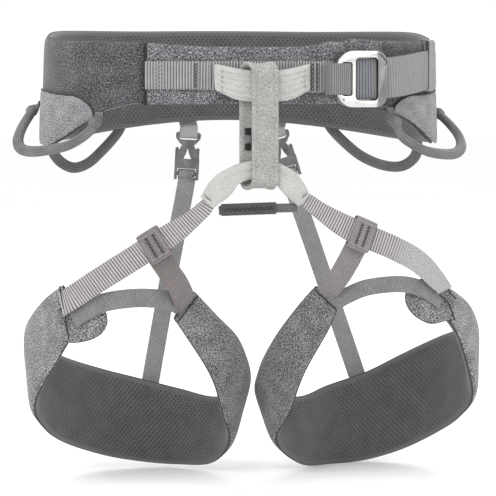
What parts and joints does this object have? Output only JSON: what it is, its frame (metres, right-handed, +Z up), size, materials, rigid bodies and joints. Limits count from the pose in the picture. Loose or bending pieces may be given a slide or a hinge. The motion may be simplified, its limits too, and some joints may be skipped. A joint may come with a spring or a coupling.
{
  "type": "climbing harness",
  "caption": "Sit harness for climbing: padded waist belt with metal buckle, fabric belay loop, padded leg loops, rear riser straps and moulded gear loops.",
  "frame": {"origin": "centre of the waist ring, at the belt's middle height in front", "axes": "+Z up along the wearer, the front faces -Y, +X towards the wearer's left hand"},
  "size_m": [0.3574, 0.2209, 0.3443],
  "materials": {
    "belt_cloth": "dark grey heather cloth",
    "front_cloth": "grey heather cloth",
    "patch_cloth": "light heather cloth",
    "leg_cloth": "mid grey heather cloth",
    "mesh_lining": "perforated spacer mesh",
    "foam": "closed-cell foam",
    "belt_webbing": "ribbed webbing",
    "waist_webbing": "smooth webbing",
    "dark_webbing": "dark webbing",
    "keeper_elastic": "elastic webbing",
    "tie_in_webbing": "off-white padded webbing",
    "belay_webbing": "light grey woven webbing",
    "riser_webbing": "light webbing",
    "leg_webbing": "ribbed webbing",
    "cross_webbing": "fine ribbed webbing",
    "leg_elastic": "flat elastic",
    "gear_loop_tube": "ribbed plastic tube",
    "clip_plastic": "moulded plastic",
    "buckle_lower": "satin aluminium",
    "buckle_upper": "polished aluminium"
  },
  "bodies": {
    "waist": {"belt_shell": "belt_cloth", "belt_foam": "foam", "belt_lining": "mesh_lining", "tongue_shell": "front_cloth", "tongue_foam": "foam", "tongue_lining": "mesh_lining", "tongue_flap": "front_cloth", "hip_patch_left": "patch_cloth", "hip_patch_right": "patch_cloth", "front_webbing": "belt_webbing", "buckle_loop": "dark_webbing", "buckle_frame": "buckle_lower", "waist_strap": "waist_webbing", "strap_keeper": "keeper_elastic", "upper_tie_in": "tie_in_webbing", "lower_tie_in": "tie_in_webbing", "bridge_strap": "dark_webbing", "bridge_sleeve": "dark_webbing", "gear_anchors": "dark_webbing", "riser_anchor_left": "riser_webbing", "riser_anchor_right": "riser_webbing", "riser_clip_left": "clip_plastic", "riser_clip_right": "clip_plastic"},
    "belay_loop": {"belay_loop": "belay_webbing"},
    "leg_left": {"leg_pad_shell_left": "leg_cloth", "leg_pad_foam_left": "foam", "leg_pad_lining_left": "mesh_lining", "leg_webbing_left": "leg_webbing", "leg_keeper_left": "leg_webbing", "leg_cross_strap_left": "cross_webbing", "leg_elastic_left": "leg_elastic", "leg_tab_left": "leg_cloth"},
    "leg_right": {"leg_pad_shell_right": "leg_cloth", "leg_pad_foam_right": "foam", "leg_pad_lining_right": "mesh_lining", "leg_webbing_right": "leg_webbing", "leg_keeper_right": "leg_webbing", "leg_cross_strap_right": "cross_webbing", "leg_elastic_right": "leg_elastic", "leg_tab_right": "leg_cloth"},
    "gear_front_left": {"gear_loop_front_left": "gear_loop_tube"},
    "gear_front_right": {"gear_loop_front_right": "gear_loop_tube"},
    "gear_rear_left": {"gear_loop_rear_left": "gear_loop_tube"},
    "gear_rear_right": {"gear_loop_rear_right": "gear_loop_tube"},
    "buckle_plate": {"buckle_plate": "buckle_upper"},
    "riser_left": {"riser_socket_left": "clip_plastic", "riser_strap_left": "riser_webbing"},
    "riser_right": {"riser_socket_right": "clip_plastic", "riser_strap_right": "riser_webbing"}
  },
  "joints": [
    {"name": "belay_loop_swivel", "type": "hinge", "parent": "waist", "child": "belay_loop", "pos_m": [-0.0005, -0.11215, -0.0355], "axis": [0, 0, 1], "range_deg": [-3, 3]},
    {"name": "leg_left_roll", "type": "hinge", "parent": "waist", "child": "leg_left", "pos_m": [-0.0368, -0.107, -0.09], "axis": [-0.1159, 0.7417, -0.6607], "range_deg": [0, 15]},
    {"name": "leg_right_roll", "type": "hinge", "parent": "waist", "child": "leg_right", "pos_m": [0.0325, -0.107, -0.089], "axis": [-0.2993, -0.7084, 0.6392], "range_deg": [0, 15]},
    {"name": "gear_front_left_swing", "type": "hinge", "parent": "waist", "child": "gear_front_left", "pos_m": [-0.11348, -0.07349, -0.033], "axis": [-0.443, 0.8935, 0.0736], "range_deg": [-8, 40]},
    {"name": "gear_front_right_swing", "type": "hinge", "parent": "waist", "child": "gear_front_right", "pos_m": [0.10371, -0.07989, -0.033], "axis": [-0.4935, -0.8689, -0.0381], "range_deg": [-8, 40]},
    {"name": "gear_rear_left_swing", "type": "hinge", "parent": "waist", "child": "gear_rear_left", "pos_m": [-0.14244, 0.04428, -0.046], "axis": [0.787, 0.6057, 0.1172], "range_deg": [-8, 40]},
    {"name": "gear_rear_right_swing", "type": "hinge", "parent": "waist", "child": "gear_rear_right", "pos_m": [0.08199, 0.0908, -0.0355], "axis": [0.7802, -0.6113, -0.133], "range_deg": [-8, 40]},
    {"name": "buckle_plate_tilt", "type": "hinge", "parent": "waist", "child": "buckle_plate", "pos_m": [0.05832, -0.10416, -0.0029], "axis": [0, 0, -1], "range_deg": [0, 25]},
    {"name": "riser_left_release", "type": "slide", "parent": "waist", "child": "riser_left", "axis": [-0.0663, -0.0754, -0.9949], "range_m": [0, 0.016]},
    {"name": "riser_right_release", "type": "slide", "parent": "waist", "child": "riser_right", "axis": [0.284, -0.0617, -0.9568], "range_m": [0, 0.016]}
  ]
}
